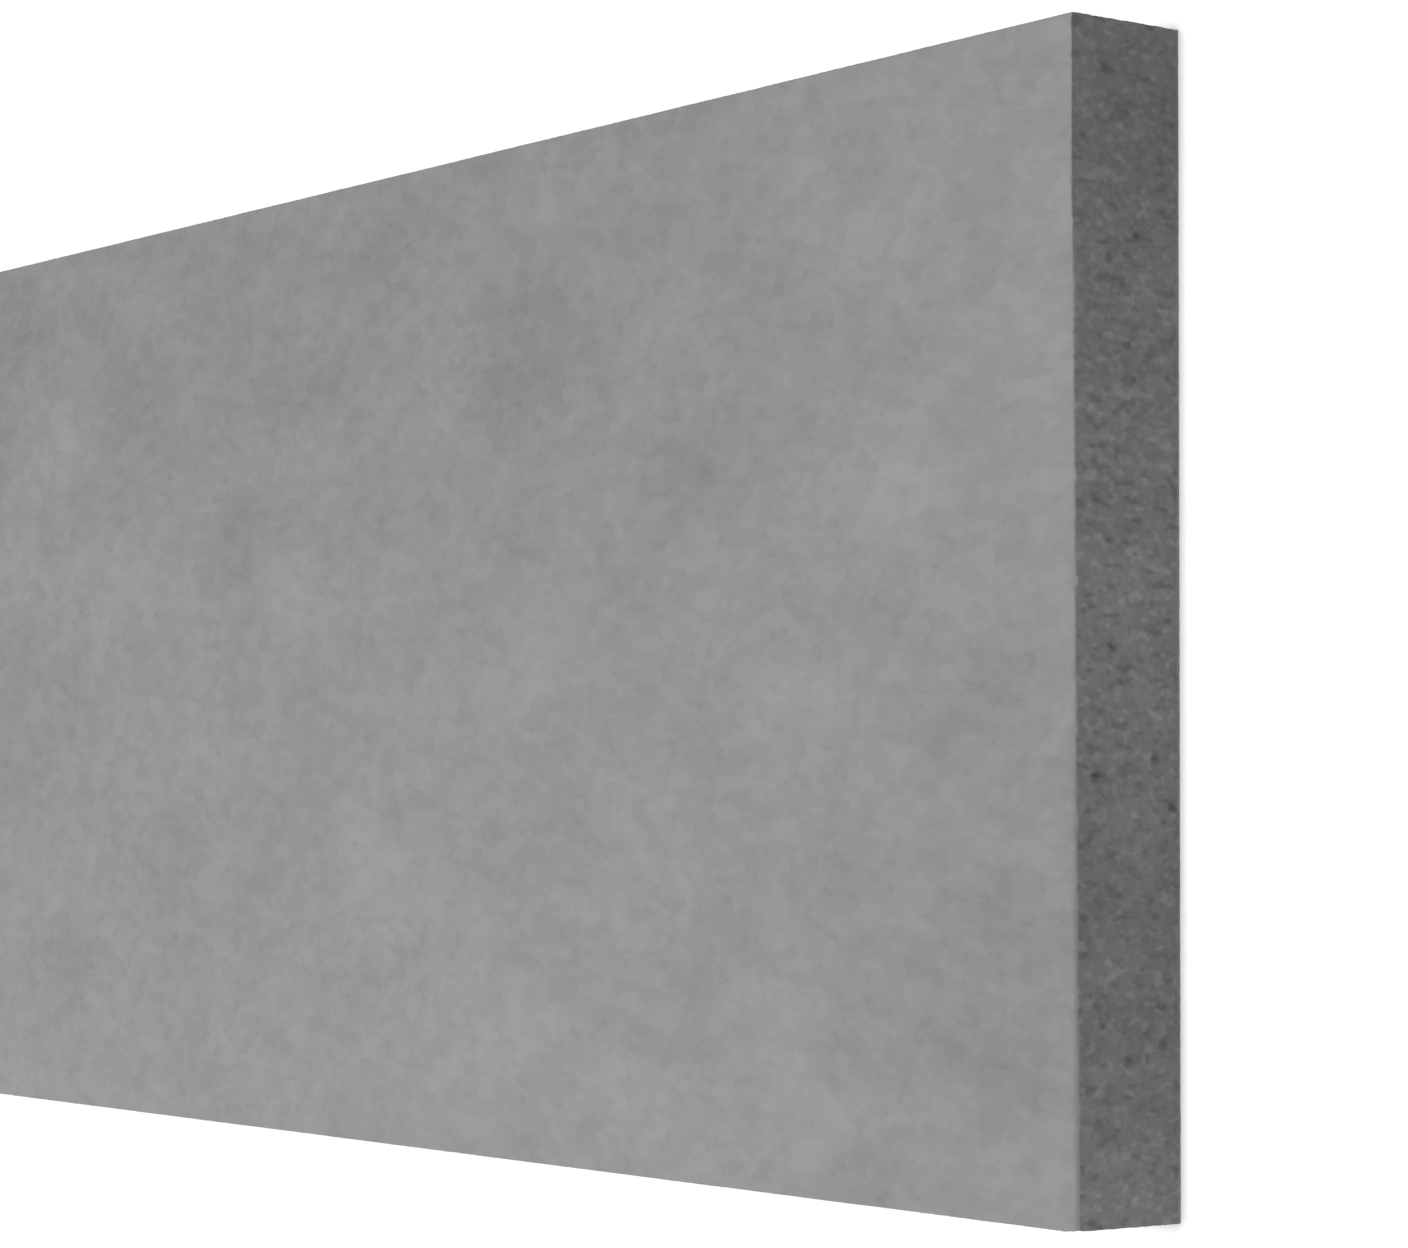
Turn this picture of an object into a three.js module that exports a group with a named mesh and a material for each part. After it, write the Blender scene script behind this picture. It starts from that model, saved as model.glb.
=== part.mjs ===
// Plinth insulation board: one flat rectangular slab of rigid foam insulation with square-cut
// butt edges all round, lying on one of its two broad faces.
//
// Millimetres, +Z up. X runs along the board, Y across it and Z through its thickness.
// The origin is the middle of the broad face that the board lies on.
import * as THREE from "three";
import { RoundedBoxGeometry } from "three/addons/geometries/RoundedBoxGeometry.js";

// Driving dimensions
const LENGTH = 1000; // from one butt end to the other
const WIDTH = 500; // from one long edge to the other: the height of plinth that a row of boards covers
const THICKNESS = 60; // from one broad face to the other
const ARRIS_RADIUS = 1; // how far handling has rounded every arris and corner

const ARRIS_STEPS = 3; // segments of the rounding at every arris

// Colour and finish of the foam: neutral mid grey, matt and without any sheen
const FOAM_GREY = 0x949494;
const FOAM_ROUGHNESS = 0.95;

function foamMaterial() {
  return new THREE.MeshStandardMaterial({
    color: FOAM_GREY,
    roughness: FOAM_ROUGHNESS,
    metalness: 0,
  });
}

// The whole board is one moulded and cut piece, so it is one solid.
function insulationBoard() {
  const slab = new RoundedBoxGeometry(LENGTH, WIDTH, THICKNESS, ARRIS_STEPS, ARRIS_RADIUS);
  const board = new THREE.Mesh(slab, foamMaterial());
  board.name = "insulation_board";
  board.position.z = THICKNESS / 2;
  return board;
}

const plinthBoard = new THREE.Group();
plinthBoard.add(insulationBoard());

export default plinthBoard;
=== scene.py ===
# Looks of the plinth insulation board: a slab of rigid foam with pale, softly clouded broad
# faces, darker grainy cut edges, worn arrises with small chips, and open pits in the cuts.
import math
import random

import bpy
from mathutils import Matrix, Vector, kdtree, noise


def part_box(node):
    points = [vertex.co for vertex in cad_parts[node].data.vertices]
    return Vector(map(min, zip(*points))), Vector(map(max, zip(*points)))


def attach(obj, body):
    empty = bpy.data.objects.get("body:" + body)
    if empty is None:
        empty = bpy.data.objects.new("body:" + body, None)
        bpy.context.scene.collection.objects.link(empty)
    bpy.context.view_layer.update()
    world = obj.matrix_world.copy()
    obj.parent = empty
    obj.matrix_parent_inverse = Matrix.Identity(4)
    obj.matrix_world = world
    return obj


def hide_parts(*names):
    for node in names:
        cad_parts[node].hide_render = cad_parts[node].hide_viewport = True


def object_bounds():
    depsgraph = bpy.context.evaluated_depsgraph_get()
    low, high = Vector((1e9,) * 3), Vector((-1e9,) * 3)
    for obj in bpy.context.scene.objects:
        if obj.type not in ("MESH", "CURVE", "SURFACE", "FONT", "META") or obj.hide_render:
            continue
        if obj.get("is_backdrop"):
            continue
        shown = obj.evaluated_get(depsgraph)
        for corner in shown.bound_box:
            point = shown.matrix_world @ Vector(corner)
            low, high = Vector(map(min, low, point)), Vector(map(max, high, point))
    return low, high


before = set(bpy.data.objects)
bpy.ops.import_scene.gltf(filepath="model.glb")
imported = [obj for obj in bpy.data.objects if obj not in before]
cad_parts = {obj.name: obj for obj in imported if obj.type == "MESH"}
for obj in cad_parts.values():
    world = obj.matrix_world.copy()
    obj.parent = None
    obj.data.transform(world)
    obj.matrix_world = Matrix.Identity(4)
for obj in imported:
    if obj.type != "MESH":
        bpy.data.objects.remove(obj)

# The board lies on one broad face. Its shown broad face is up, its shown cut end is at +X,
# and the long edge that is uppermost in the photograph is at +Y.
cad_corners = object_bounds()
low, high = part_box("insulation_board")
size = high - low
half = size / 2
centre = (low + high) / 2
MM = 0.001

# Surface lattice, which divides all six faces into square cells
FINEST_CELL = 1.25 * MM
COARSEST = 8  # edge of the largest cell, in finest cells
ARRIS_CLEARANCE = {1: 0, 2: 2, 4: 8, 8: 16}  # least distance from an arris for each size of cell
SHOWN_END_LARGEST = 1
OTHER_CUTS_LARGEST = 2

# Worn arrises, in millimetres
CRISP_RADIUS = 0.6
WORN_RADIUS = 2.0
RADIUS_WANDER = 0.35
RADIUS_WANDER_LENGTH = 30
LEAST_RADIUS = 0.2
CRISP_LENGTH = 90  # how far down the shown arris stays crisp
CRISP_FADE = 30
CHIPS = (87.6, 112, 192, 235, 296, 333, 450)  # places down the shown arris
CHIP_REACH = 4.5
CHIP_DEPTH = 0.9

# Open pits in the cut faces, in millimetres. Those of the shown end are listed as (down, in from the
# face).
SHOWN_PITS = (
    (90, 36), (100, 20), (261, 21), (307, 46), (315, 12),
    (327, 56), (330, 8), (426, 50), (432, 30),
)
SHOWN_PIT_RADIUS = 4.6
SHOWN_PIT_DEPTH = 1.15
PIT_RADIUS = (3.2, 4.8)
PIT_DEPTH = (0.7, 1.3)
PIT_SPACING = 55  # length of cut edge for each pit on the hidden cuts
PIT_MARGIN = 4

# Relief, in millimetres
BEAD = 4.5  # width of one foam bead
BEAD_GROOVE = 0.24
BEAD_GROOVE_RIM = 0.4  # where a groove ends, in beads
GRAIN_LENGTH = 2.5
GRAIN_RELIEF = 0.2
WAVE_LENGTH = 70
WAVE_RELIEF = 0.12

# Clouds: (in from the shown end, down, reach along, reach down) of the broad face, in millimetres
DARK_CLOUDS = (
    (950, 32, 52, 24), (840, 42, 32, 16), (790, 80, 54, 30), (700, 88, 36, 24),
    (615, 98, 56, 32), (540, 50, 42, 22), (440, 140, 40, 22), (385, 95, 62, 44),
    (320, 52, 46, 24), (240, 60, 26, 20), (275, 172, 44, 30), (665, 185, 36, 28),
    (550, 293, 38, 20), (745, 343, 44, 24), (865, 415, 44, 26), (370, 350, 34, 20),
    (230, 390, 36, 24), (76, 286, 42, 15), (50, 404, 64, 50), (930, 300, 46, 24),
)
PALE_CLOUDS = (
    (895, 122, 52, 22), (950, 185, 46, 30), (830, 200, 72, 30), (590, 222, 58, 30),
    (460, 195, 40, 16), (100, 190, 62, 32), (190, 275, 46, 24), (120, 90, 60, 30),
    (520, 370, 70, 34), (420, 435, 60, 26), (300, 465, 60, 26), (165, 460, 60, 26),
)
CLOUD_DEPTH = 0.06  # share of the tone that a cloud takes away or adds
CLOUD_RIM = (0.5, 1.2)  # shares of its reach between which a cloud fades out
CLOUD_RAGGED = 20  # how far a cloud's outline wanders, in millimetres
CLOUD_RAG_LENGTH = 45
SWEEP = 0.135  # share of the tone gained from the upper to the lower long edge
SWEEP_START = 350  # how far in from the shown end the sweep is full
SWEEP_PIVOT = 0.42  # share of the width, down from the upper edge, where the sweep is nil

# Shades down the cut end: (down, reach, share of the tone added)
END_SHADES = ((30, 70, -0.11), (240, 70, 0.06), (395, 40, -0.03), (500, 25, 0.14))
CRISP_LINE = -0.3  # share of the tone added along the crisp stretch of the shown arris
ON_ARRIS = FINEST_CELL / MM / 2  # millimetres within which a lattice point is on an arris

# How far the pale skin reaches round an arris onto the cut, in millimetres
SKIN_WRAP = 0.8
SHOWN_WRAP_CRISP = -1.3
SHOWN_WRAP_WORN = (-0.9, 3.3)  # at the top, and at the bottom
SHOWN_WRAP_REACH = 12  # how far from the shown end this wrap holds
WRAP_RAGGED = 0.45
WRAP_RAG_LENGTH = 9
FINE_WRAP_RAG_LENGTH = 3.5
FINE_WRAP_RAG_SHARE = 0.6
CHIP_WRAP = 0.9
CHIP_WRAP_REACH = CHIP_REACH / 2

# Tones, as linear reflectance
SKIN_TONE = 0.24
CORE_TONE = 0.172
FLOOR_TONE = 0.93
PAINTED_RECESS_SHADE = 0.3  # painted shade: share of the tone taken off for each millimetre of depth in a groove or pit

# Texture. Lengths are in millimetres and strengths are shares of the face's own tone. A patch
# has an even tone where a noise is over its level, and fades out over its softness.
SKIN_STRETCH = (0.62, 1, 1)  # below 1 draws the texture out along that axis
CORE_STRETCH = (1, 1, 0.7)
STREAK_STRETCH = (1, 1, 0.5)
TEXTURE_TURN = (0.6, 0.45, 0.35)  # radians, so that no noise lines up with a face
OTHER_PLACE = 0.4  # metres away, where the noise has nothing in common with itself
BROAD_MOTTLE = {"length": 60, "detail": 1, "roughness": 1, "strength": 0.22}
FINE_MOTTLE = {"length": 4, "detail": 1, "roughness": 0.8, "strength": 0.08}
PALE_PATCHES = {
    "length": 11, "detail": 2, "roughness": 0.55, "level": -0.02, "softness": 0.11, "strength": 0.057,
}
DARK_PATCHES = {
    "length": 10, "detail": 2, "roughness": 0.55, "level": 0, "softness": 0.12, "strength": -0.053,
}
FLECKS = {
    "length": 5, "detail": 1, "roughness": 0.5, "level": 0.15, "softness": 0.12, "strength": -0.035,
}
BLOTCHES = {"length": 34, "detail": 1, "roughness": 1, "strength": 0.34}
GRAIN = {"length": 7, "detail": 2, "roughness": 0.85, "strength": 0.56}
BLOBS = {
    "length": 3.8, "detail": 1, "roughness": 0.4, "level": 0, "softness": 0.22, "strength": 0.24,
}
STREAKS = {
    "length": 4.4, "detail": 1, "roughness": 0.4, "level": 0.02, "softness": 0.23, "strength": -0.23,
}
GRAIN_GROWTH = 2.0  # how much livelier the grain is where the cut is paler
NOISE_MIDDLE = 0.5  # the mean of a noise node

# Edge between skin and core, and height of the fine bumps: lengths and strengths in millimetres
EDGE_RAG = {"length": 2.5, "detail": 2, "roughness": 0.6, "strength": 1.2}
EDGE_SOFTNESS = 1.0
SKIN_BUMPS = {"length": 3, "detail": 3, "roughness": 0.7, "strength": 0.05}
CORE_BUMPS = {"length": 1.6, "detail": 3, "roughness": 0.7, "strength": 0.3}

# Matt finish, the same on skin and core
FOAM_ROUGHNESS = 0.92
ROUGHNESS_MOTTLE = {"length": 12, "detail": 3, "roughness": 0.6, "strength": 0.1}
FOAM_SPECULAR = 0.2

FLOOR_REACH = 30  # metres from the board's origin, out of sight in every view

# Light
SKY_HORIZON = 0.95
SKY_ZENITH = 0.2
SKY_FADE = 0.6  # height of the direction, as a sine, where the sky has faded to its zenith
LAMP_STRENGTH = 2.9
LAMP_ANGLE = 12  # degrees across

# Camera
SENSOR = 36 * MM
LENS = 98.76 * MM
CAMERA_TARGET = Vector((249.2, 6.75, 60)) * MM  # where it looks on the shown broad face
CAMERA_DISTANCE = 1.7781
CAMERA_AZIMUTH = 86.37  # degrees from -Y towards +X
CAMERA_ELEVATION = 36.93
CAMERA_ROLL = 87.59  # brings the board's +Y side to the top of the picture

SEED = 11
random.seed(SEED)


def smooth_step(value, start, end):
    share = min(max((value - start) / (end - start), 0), 1)
    return share * share * (3 - 2 * share)


def bump_of(distance):
    """A soft bump that is 1 at no distance and 0 from a distance of 1 on."""
    return (1 - min(distance, 1) ** 2) ** 2


def bell(distance):
    return math.exp(-distance * distance)


def plateau(distance):
    """1 near the middle of a cloud, then down to 0 with a soft rim."""
    return 1 - smooth_step(distance, *CLOUD_RIM)


# Lattice

def lattice_counts():
    return [COARSEST * max(1, round(length / (COARSEST * FINEST_CELL))) for length in size]


def face_cells(u, v, cell, width, height, largest):
    """Yields (u, v, edge) of the cells that fill a square, smaller towards the face's arrises."""
    nearest_arris = min(u, v, width - u - cell, height - v - cell)
    if cell <= largest and nearest_arris >= ARRIS_CLEARANCE[cell]:
        yield u, v, cell
        return
    part = cell // 2
    for step_u, step_v in ((0, 0), (part, 0), (0, part), (part, part)):
        yield from face_cells(u + step_u, v + step_v, part, width, height, largest)


def lattice_point(axis, level, u, v):
    point = [0, 0, 0]
    point[axis] = level
    point[(axis + 1) % 3] = u
    point[(axis + 2) % 3] = v
    return tuple(point)


def largest_cell(axis, is_high):
    if axis == 2:
        return COARSEST
    return SHOWN_END_LARGEST if axis == 0 and is_high else OTHER_CUTS_LARGEST


def all_cells(counts):
    """Every cell of the six faces, as (axis, is_high, level, u, v, edge)."""
    cells = []
    for axis in range(3):
        width = counts[(axis + 1) % 3]
        height = counts[(axis + 2) % 3]
        for is_high in (False, True):
            largest = largest_cell(axis, is_high)
            level = counts[axis] if is_high else 0
            for u in range(0, width, COARSEST):
                for v in range(0, height, COARSEST):
                    for cell in face_cells(u, v, COARSEST, width, height, largest):
                        cells.append((axis, is_high, level, *cell))
    return cells


def corner_walk(u, v, edge):
    """The lattice places round a cell, counter-clockwise, each with True at a corner."""
    for step in range(edge):
        yield u + step, v, step == 0
    for step in range(edge):
        yield u + edge, v + step, step == 0
    for step in range(edge):
        yield u + edge - step, v + edge, step == 0
    for step in range(edge):
        yield u, v + edge - step, step == 0


def lattice_faces(counts):
    """Points and faces of one closed skin. A cell beside finer ones is a fan about its middle."""
    cells = all_cells(counts)
    index = {}
    for axis, _, level, u, v, edge in cells:
        for place_u, place_v, is_corner in corner_walk(u, v, edge):
            if is_corner:
                point = lattice_point(axis, level, place_u, place_v)
                index.setdefault(point, len(index))
    faces = []
    for axis, is_high, level, u, v, edge in cells:
        walk = [lattice_point(axis, level, a, b) for a, b, _ in corner_walk(u, v, edge)]
        rim = [index[point] for point in walk if point in index]
        rim = rim if is_high else rim[::-1]
        if len(rim) == 4:
            faces.append(rim)
            continue
        middle = lattice_point(axis, level, u + edge / 2, v + edge / 2)
        hub = index.setdefault(middle, len(index))
        faces += [(rim[step - 1], rim[step], hub) for step in range(len(rim))]
    return list(index), faces


# Shape

def photo_place(point):
    """Millimetres in from the shown end, down from the upper edge, and below the shown face."""
    return (high - point) / MM


def wander(point, length, seed):
    """Smooth noise from about -1 to 1 that varies over a length in millimetres."""
    return noise.noise(point / (length * MM) + Vector((seed, seed, seed)))


def wander_share(point, length, seed):
    """The same noise, from about 0 to 1."""
    return 0.5 + 0.5 * wander(point, length, seed)


def on_shown_arris(inward, below):
    return inward < CHIP_REACH and below < CHIP_REACH


def crispness(down):
    """1 along the crisp stretch of the shown arris, 0 along its worn stretch."""
    return 1 - smooth_step(down, CRISP_LENGTH - CRISP_FADE / 2, CRISP_LENGTH + CRISP_FADE / 2)


def arris_radius(point):
    inward, down, below = photo_place(point)
    radius = CRISP_RADIUS + RADIUS_WANDER * wander(point, RADIUS_WANDER_LENGTH, seed=3)
    if on_shown_arris(inward, below):
        radius += (WORN_RADIUS - CRISP_RADIUS) * (1 - crispness(down))
    return max(radius, LEAST_RADIUS) * MM


def chip_depth(inward, down, below):
    deepest = 0
    for place in CHIPS:
        away = math.dist((inward, down, below), (0, place, 0)) / CHIP_REACH
        deepest = max(deepest, CHIP_DEPTH * bump_of(away))
    return deepest


def hidden_cuts():
    """(axis, level, axis along) of the cut faces that have pits at chance places."""
    return ((0, low.x, 1), (1, low.y, 0), (1, high.y, 0))


def pit_places():
    places = [Vector((high.x, high.y - down * MM, high.z - below * MM)) for down, below in SHOWN_PITS]
    for axis, level, along in hidden_cuts():
        for _ in range(round(size[along] / (PIT_SPACING * MM))):
            place = Vector((0, 0, 0))
            place[axis] = level
            place[along] = random.uniform(low[along], high[along])
            place.z = random.uniform(low.z + PIT_MARGIN * MM, high.z - PIT_MARGIN * MM)
            places.append(place)
    return places


class Pits:
    """The open pits, found by the nearest one to a point."""

    def __init__(self):
        places = pit_places()
        self.tree = kdtree.KDTree(len(places))
        for number, place in enumerate(places):
            self.tree.insert(place, number)
        self.tree.balance()
        hidden = len(places) - len(SHOWN_PITS)
        self.shapes = [(SHOWN_PIT_RADIUS, SHOWN_PIT_DEPTH)] * len(SHOWN_PITS)
        for _ in range(hidden):
            self.shapes.append((random.uniform(*PIT_RADIUS), random.uniform(*PIT_DEPTH)))

    def depth(self, point):
        _, number, distance = self.tree.find(point)
        radius, depth = self.shapes[number]
        return depth * bump_of(distance / MM / radius)


def cut_relief(point, pits):
    nearest, second = noise.voronoi(point / (BEAD * MM))[0][:2]
    groove = BEAD_GROOVE * (1 - smooth_step(second - nearest, 0, BEAD_GROOVE_RIM))
    grain = GRAIN_RELIEF * wander_share(point, GRAIN_LENGTH, seed=7)
    return max(groove + grain, pits.depth(point))


def face_relief(point):
    return WAVE_RELIEF * wander_share(point, WAVE_LENGTH, seed=5)


def worn_place(flat, pits):
    """Where a point of the ideal box lies on the worn board, always inside the box, and how
    deep the cut is hollowed there, in millimetres."""
    radius = arris_radius(flat)
    core = Vector([
        min(max(flat[axis], low[axis] + radius), high[axis] - radius) for axis in range(3)
    ])
    outward = (flat - core).normalized()
    cut_share = 1 - outward.z ** 2
    hollow = cut_relief(flat, pits) * cut_share if cut_share > 0 else 0
    sunk = hollow + face_relief(flat) * (1 - cut_share)
    inward, down, below = photo_place(flat)
    if on_shown_arris(inward, below):
        sunk += chip_depth(inward, down, below)
    return core + outward * (radius - sunk * MM), hollow


# Tone carried by the mesh

def cloud_sum(clouds, along, down):
    total = 0
    for place_along, place_down, reach_along, reach_down in clouds:
        away = math.hypot((along - place_along) / reach_along, (down - place_down) / reach_down)
        total += plateau(away)
    return total


def face_cloud(point):
    """Share of the tone that the clouds add to a broad face. The hidden one is turned round."""
    inward, down, _ = photo_place(point)
    if point.z < centre.z:
        inward = size.x / MM - inward
    ragged_along = CLOUD_RAGGED * wander(point, CLOUD_RAG_LENGTH, seed=21)
    ragged_down = CLOUD_RAGGED * wander(point, CLOUD_RAG_LENGTH, seed=43)
    pale = cloud_sum(PALE_CLOUDS, inward + ragged_along, down + ragged_down)
    dark = cloud_sum(DARK_CLOUDS, inward + ragged_along, down + ragged_down)
    sweep = smooth_step(inward, 0, SWEEP_START) * (down * MM / size.y - SWEEP_PIVOT)
    return CLOUD_DEPTH * (pale - dark) + SWEEP * sweep


def end_shade(point):
    inward, down, below = photo_place(point)
    shade = sum(share * bell((down - place) / reach) for place, reach, share in END_SHADES)
    if max(inward, below) < ON_ARRIS:
        shade += CRISP_LINE * crispness(down)
    return shade


def cloud(point):
    """The broad faces' clouds, or the cuts' shades, whichever face is nearer."""
    below = min(high.z - point.z, point.z - low.z)
    inset = min(point.x - low.x, high.x - point.x, point.y - low.y, high.y - point.y)
    return face_cloud(point) if below < inset else end_shade(point)


def skin_wrap(point):
    """How far the pale skin reaches round the nearest arris onto the cut, in millimetres."""
    inward, down, below = photo_place(point)
    wrap = SKIN_WRAP
    if inward < min(SHOWN_WRAP_REACH, down, size.y / MM - down) and below < half.z / MM:
        worn = SHOWN_WRAP_WORN[0] + (SHOWN_WRAP_WORN[1] - SHOWN_WRAP_WORN[0]) * down * MM / size.y
        wrap = worn + (SHOWN_WRAP_CRISP - worn) * crispness(down)
        wrap += CHIP_WRAP * sum(bell((down - place) / CHIP_WRAP_REACH) for place in CHIPS)
    rag = wander(point, WRAP_RAG_LENGTH, seed=31)
    fine_rag = wander(point, FINE_WRAP_RAG_LENGTH, seed=37)
    return wrap + WRAP_RAGGED * (rag + FINE_WRAP_RAG_SHARE * fine_rag)


def write_attribute(mesh, name, values):
    attribute = mesh.attributes.new(name, "FLOAT", "POINT")
    attribute.data.foreach_set("value", values)


def board_mesh():
    counts = lattice_counts()
    spacing = [size[axis] / counts[axis] for axis in range(3)]
    lattice, faces = lattice_faces(counts)
    flat = [low + Vector([point[a] * spacing[a] for a in range(3)]) for point in lattice]
    pits = Pits()
    worn = [worn_place(point, pits) for point in flat]
    mesh = bpy.data.meshes.new("foam_board")
    mesh.from_pydata([place for place, _ in worn], [], faces)
    mesh.shade_smooth()
    # The depth of grooves and pits, which the material turns into painted shade on the cuts
    write_attribute(mesh, "hollow", [hollow for _, hollow in worn])
    write_attribute(mesh, "cloud", [cloud(point) for point in flat])
    write_attribute(mesh, "skin_wrap", [skin_wrap(point) for point in flat])
    return mesh


# Material

class Nodes:
    """Adds nodes to a material or world. An input given as a socket is linked, else it is set."""

    def __init__(self, owner):
        owner.use_nodes = True
        self.tree = owner.node_tree
        self.tree.nodes.clear()

    def add(self, kind, inputs, **settings):
        node = self.tree.nodes.new("ShaderNode" + kind)
        for name, value in settings.items():
            setattr(node, name, value)
        for name, value in inputs.items():
            if isinstance(value, bpy.types.NodeSocket):
                self.tree.links.new(value, node.inputs[name])
            else:
                node.inputs[name].default_value = value
        return node

    def math(self, operation, *values):
        return self.add("Math", dict(enumerate(values)), operation=operation).outputs[0]

    def mix(self, share, first, second):
        inputs = {"Factor": share, "A": first, "B": second}
        return self.add("Mix", inputs, data_type="FLOAT").outputs["Result"]

    def total(self, *values):
        while len(values) > 1:
            values = (self.math("ADD", values[0], values[1]), *values[2:])
        return values[0]

    def noise(self, place, length, detail, roughness):
        """Noise centred on 0 whose largest features are about a length, in millimetres."""
        inputs = {
            "Vector": place, "Scale": 1 / (length * MM), "Detail": detail, "Roughness": roughness,
        }
        value = self.add("TexNoise", inputs).outputs["Fac"]
        return self.math("SUBTRACT", value, NOISE_MIDDLE)

    def turned(self, place, stretch, shift):
        """A place stretched along the axes, then turned so that no noise lines up with a face."""
        inputs = {
            "Vector": place, "Scale": stretch, "Rotation": TEXTURE_TURN,
            "Location": (shift, shift, shift),
        }
        return self.add("Mapping", inputs).outputs["Vector"]

    def smooth(self, value, start, end):
        inputs = {"Value": value, "From Min": start, "From Max": end}
        return self.add("MapRange", inputs, interpolation_type="SMOOTHSTEP").outputs["Result"]


def grained(nodes, place, grain):
    value = nodes.noise(place, grain["length"], grain["detail"], grain["roughness"])
    return nodes.math("MULTIPLY", value, grain["strength"])


def patched(nodes, place, patch):
    value = nodes.noise(place, patch["length"], patch["detail"], patch["roughness"])
    share = nodes.smooth(value, patch["level"], patch["level"] + patch["softness"])
    return nodes.math("MULTIPLY", share, patch["strength"])


def attribute_value(nodes, name):
    return nodes.add("Attribute", {}, attribute_name=name).outputs["Fac"]


def unfolded_depth(nodes, place):
    """Millimetres past the nearest arris: below 0 on a broad face, above 0 on a cut."""
    axes = nodes.add("SeparateXYZ", {"Vector": place}).outputs
    from_middle = [
        nodes.math("ABSOLUTE", nodes.math("SUBTRACT", axes[i], centre[i])) for i in range(3)
    ]
    x_inset, y_inset, depth = [nodes.math("SUBTRACT", half[i], from_middle[i]) for i in range(3)]
    inset = nodes.math("MINIMUM", x_inset, y_inset)
    return nodes.math("DIVIDE", nodes.math("SUBTRACT", depth, inset), MM)


def core_share(nodes, place):
    """0 where the pale skin covers the foam, 1 where the cut core shows."""
    wrap = nodes.math("ADD", attribute_value(nodes, "skin_wrap"), grained(nodes, place, EDGE_RAG))
    past = nodes.math("SUBTRACT", unfolded_depth(nodes, place), wrap)
    return nodes.smooth(past, -EDGE_SOFTNESS, EDGE_SOFTNESS)


def skin_tone(nodes, place):
    drawn = nodes.turned(place, SKIN_STRETCH, 0)
    other = nodes.turned(place, SKIN_STRETCH, OTHER_PLACE)
    mottle = nodes.total(
        grained(nodes, drawn, BROAD_MOTTLE),
        grained(nodes, drawn, FINE_MOTTLE),
        patched(nodes, drawn, PALE_PATCHES),
        patched(nodes, other, DARK_PATCHES),
        patched(nodes, other, FLECKS),
    )
    shade = nodes.math("ADD", mottle, attribute_value(nodes, "cloud"))
    return nodes.math("MULTIPLY_ADD", shade, SKIN_TONE, SKIN_TONE)


def core_tone(nodes, place):
    drawn = nodes.turned(place, CORE_STRETCH, 0)
    streaked = nodes.turned(place, STREAK_STRETCH, OTHER_PLACE)
    grain = nodes.total(
        grained(nodes, drawn, GRAIN),
        patched(nodes, drawn, BLOBS),
        patched(nodes, streaked, STREAKS),
    )
    cloud_value = attribute_value(nodes, "cloud")
    lively = nodes.math("MULTIPLY_ADD", cloud_value, GRAIN_GROWTH, 1.0)
    shade = nodes.math("MULTIPLY_ADD", grain, lively, grained(nodes, drawn, BLOTCHES))
    shade = nodes.math("ADD", shade, cloud_value)
    # Painted shade: the core is darkened by the depth of its grooves and pits, where shade would fall
    shade = nodes.math("MULTIPLY_ADD", attribute_value(nodes, "hollow"), -PAINTED_RECESS_SHADE, shade)
    return nodes.math("MULTIPLY_ADD", shade, CORE_TONE, CORE_TONE)


def foam_material():
    material = bpy.data.materials.new("foam")
    nodes = Nodes(material)
    place = nodes.add("TexCoord", {}).outputs["Object"]
    core = core_share(nodes, place)
    tone = nodes.mix(core, skin_tone(nodes, place), core_tone(nodes, place))
    skin_height = grained(nodes, place, SKIN_BUMPS)
    height = nodes.mix(core, skin_height, grained(nodes, place, CORE_BUMPS))
    normal = nodes.add("Bump", {"Height": height, "Distance": MM}).outputs["Normal"]
    roughness = nodes.math("ADD", grained(nodes, place, ROUGHNESS_MOTTLE), FOAM_ROUGHNESS)
    surface = nodes.add("BsdfPrincipled", {
        "Base Color": tone, "Roughness": roughness, "Normal": normal,
        "Specular IOR Level": FOAM_SPECULAR,
    })
    nodes.add("OutputMaterial", {"Surface": surface.outputs["BSDF"]})
    return material


def foam_board():
    board = bpy.data.objects.new("foam_board", board_mesh())
    board.data.materials.append(foam_material())
    bpy.context.scene.collection.objects.link(board)
    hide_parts("insulation_board")
    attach(board, "root")


# Stage

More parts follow.
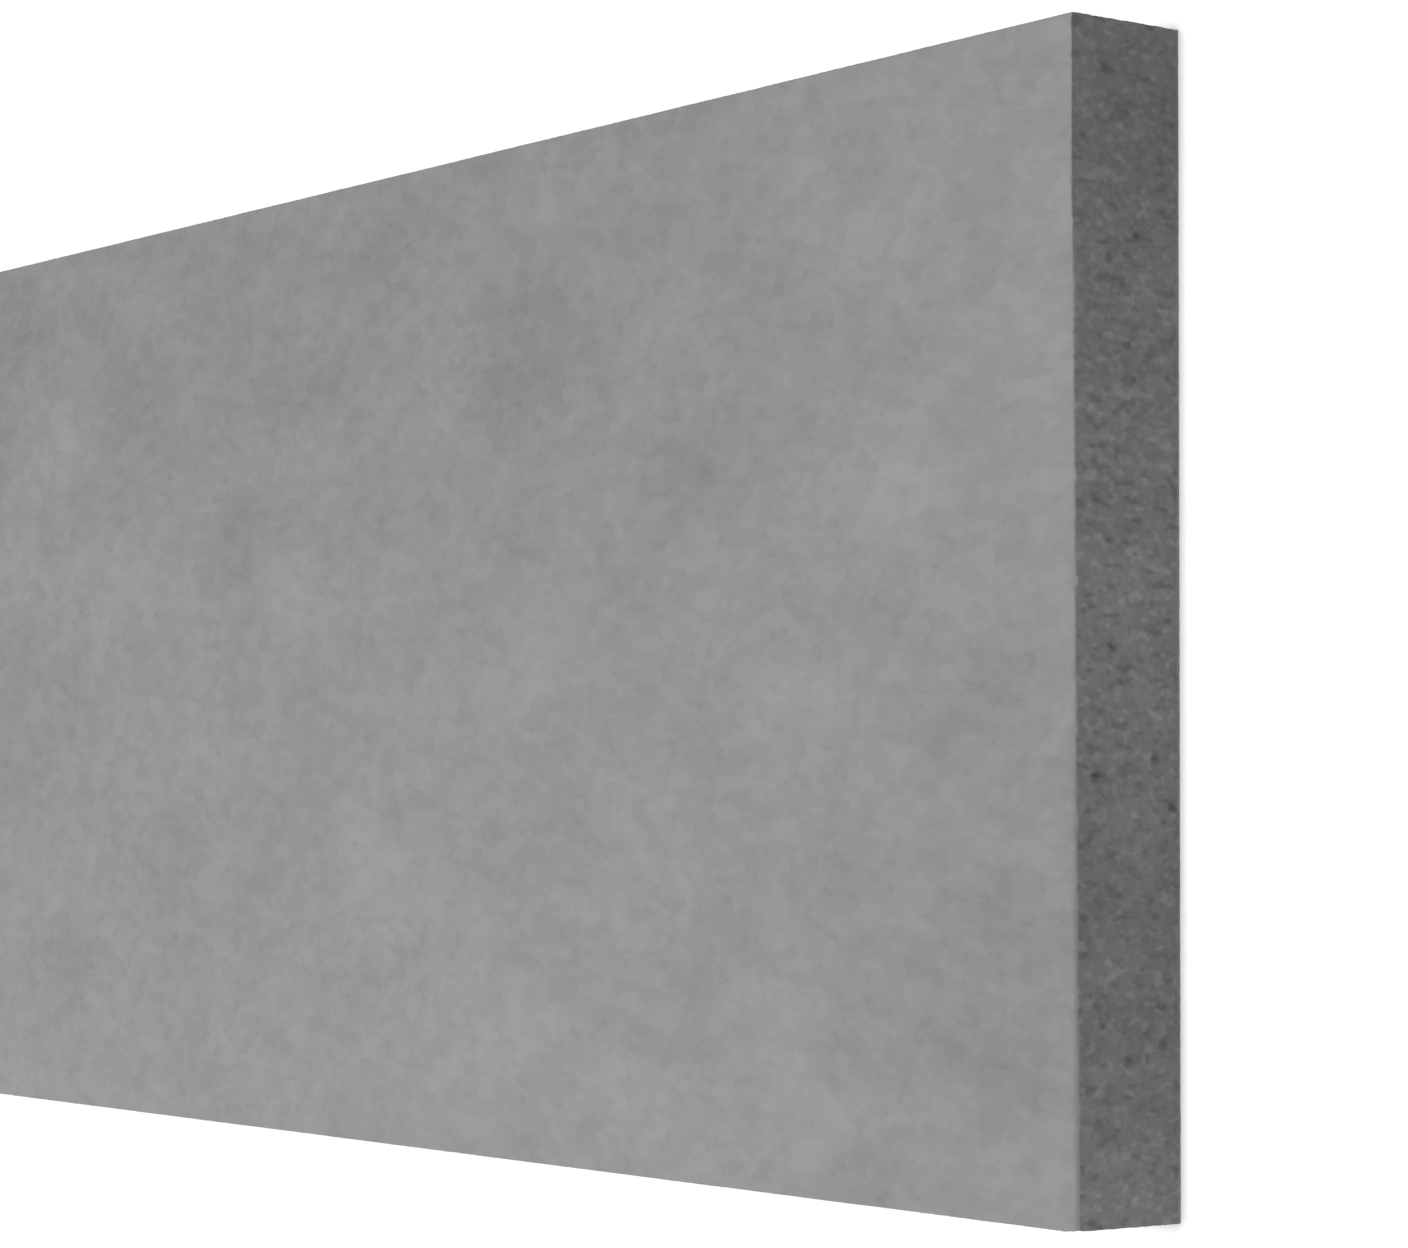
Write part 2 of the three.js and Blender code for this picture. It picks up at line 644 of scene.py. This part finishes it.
def floor():
    mesh = bpy.data.meshes.new("floor")
    corners = [
        (x * FLOOR_REACH, y * FLOOR_REACH, 0) for x, y in ((-1, -1), (1, -1), (1, 1), (-1, 1))
    ]
    mesh.from_pydata(corners, [], [(0, 1, 2, 3)])
    ground = bpy.data.objects.new("floor", mesh)
    ground.location.z = low.z
    material = bpy.data.materials.new("floor")
    nodes = Nodes(material)
    surface = nodes.add("BsdfDiffuse", {"Color": (FLOOR_TONE, FLOOR_TONE, FLOOR_TONE, 1)})
    nodes.add("OutputMaterial", {"Surface": surface.outputs["BSDF"]})
    mesh.materials.append(material)
    bpy.context.scene.collection.objects.link(ground)
    ground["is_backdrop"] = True


def studio_light():
    world = bpy.data.worlds.new("studio")
    nodes = Nodes(world)
    direction = nodes.add("TexCoord", {}).outputs["Generated"]
    height = nodes.add("SeparateXYZ", {"Vector": direction}).outputs["Z"]
    fade = nodes.smooth(height, 0.0, SKY_FADE)
    strength = nodes.mix(fade, SKY_HORIZON, SKY_ZENITH)
    sky = nodes.add("Background", {"Color": (1, 1, 1, 1), "Strength": strength})
    nodes.add("OutputWorld", {"Surface": sky.outputs["Background"]})
    bpy.context.scene.world = world
    lamp_data = bpy.data.lights.new("overhead", "SUN")
    lamp_data.energy = LAMP_STRENGTH
    lamp_data.angle = math.radians(LAMP_ANGLE)
    lamp = bpy.data.objects.new("overhead", lamp_data)
    bpy.context.scene.collection.objects.link(lamp)
    bpy.context.scene.view_settings.view_transform = "Standard"


def camera():
    azimuth = math.radians(CAMERA_AZIMUTH)
    elevation = math.radians(CAMERA_ELEVATION)
    flat_reach = math.cos(elevation)
    backward = Vector((
        flat_reach * math.sin(azimuth), -flat_reach * math.cos(azimuth), math.sin(elevation),
    ))
    level_right = Vector((0, 0, 1)).cross(backward).normalized()
    level_up = backward.cross(level_right)
    level = Matrix((level_right, level_up, backward)).transposed()
    roll = Matrix.Rotation(-math.radians(CAMERA_ROLL), 3, "Z")
    data = bpy.data.cameras.new("camera")
    data.sensor_width = SENSOR / MM
    data.lens = LENS / MM
    viewer = bpy.data.objects.new("camera", data)
    viewer.matrix_world = Matrix.Translation(
        CAMERA_TARGET + backward * CAMERA_DISTANCE
    ) @ (level @ roll).to_4x4()
    bpy.context.scene.collection.objects.link(viewer)
    bpy.context.scene.camera = viewer


camera()
studio_light()
floor()
foam_board()

corner_lists = {"cad": cad_corners, "visual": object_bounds()}
{name: [list(corner) for corner in pair] for name, pair in corner_lists.items()}
